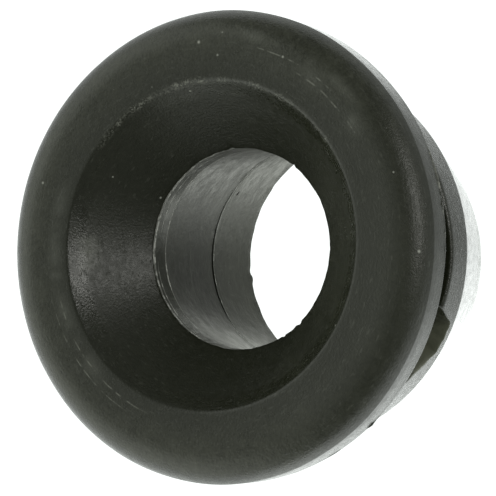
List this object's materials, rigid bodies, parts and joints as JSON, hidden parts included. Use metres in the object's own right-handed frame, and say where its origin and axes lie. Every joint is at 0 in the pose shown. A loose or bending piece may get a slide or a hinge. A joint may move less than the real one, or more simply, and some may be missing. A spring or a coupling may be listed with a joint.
{
  "type": "rubber grommet",
  "caption": "Round push-in rubber grommet with a countersunk flange, a panel groove, a tapering head and a bore right through.",
  "frame": {"origin": "centre of the rear face, the small end of the head, on the bore's axis", "axes": "+Z along the bore's axis, from the rear face to the flange's countersunk face; the nick in the head's band lies towards -X and -Y"},
  "size_m": [0.03, 0.03, 0.0212],
  "materials": {
    "rubber": "moulded black rubber with an olive cast, satin, with fine tool lines, scuffs and dust"
  },
  "bodies": {
    "root": {"grommet": "rubber"}
  },
  "joints": []
}
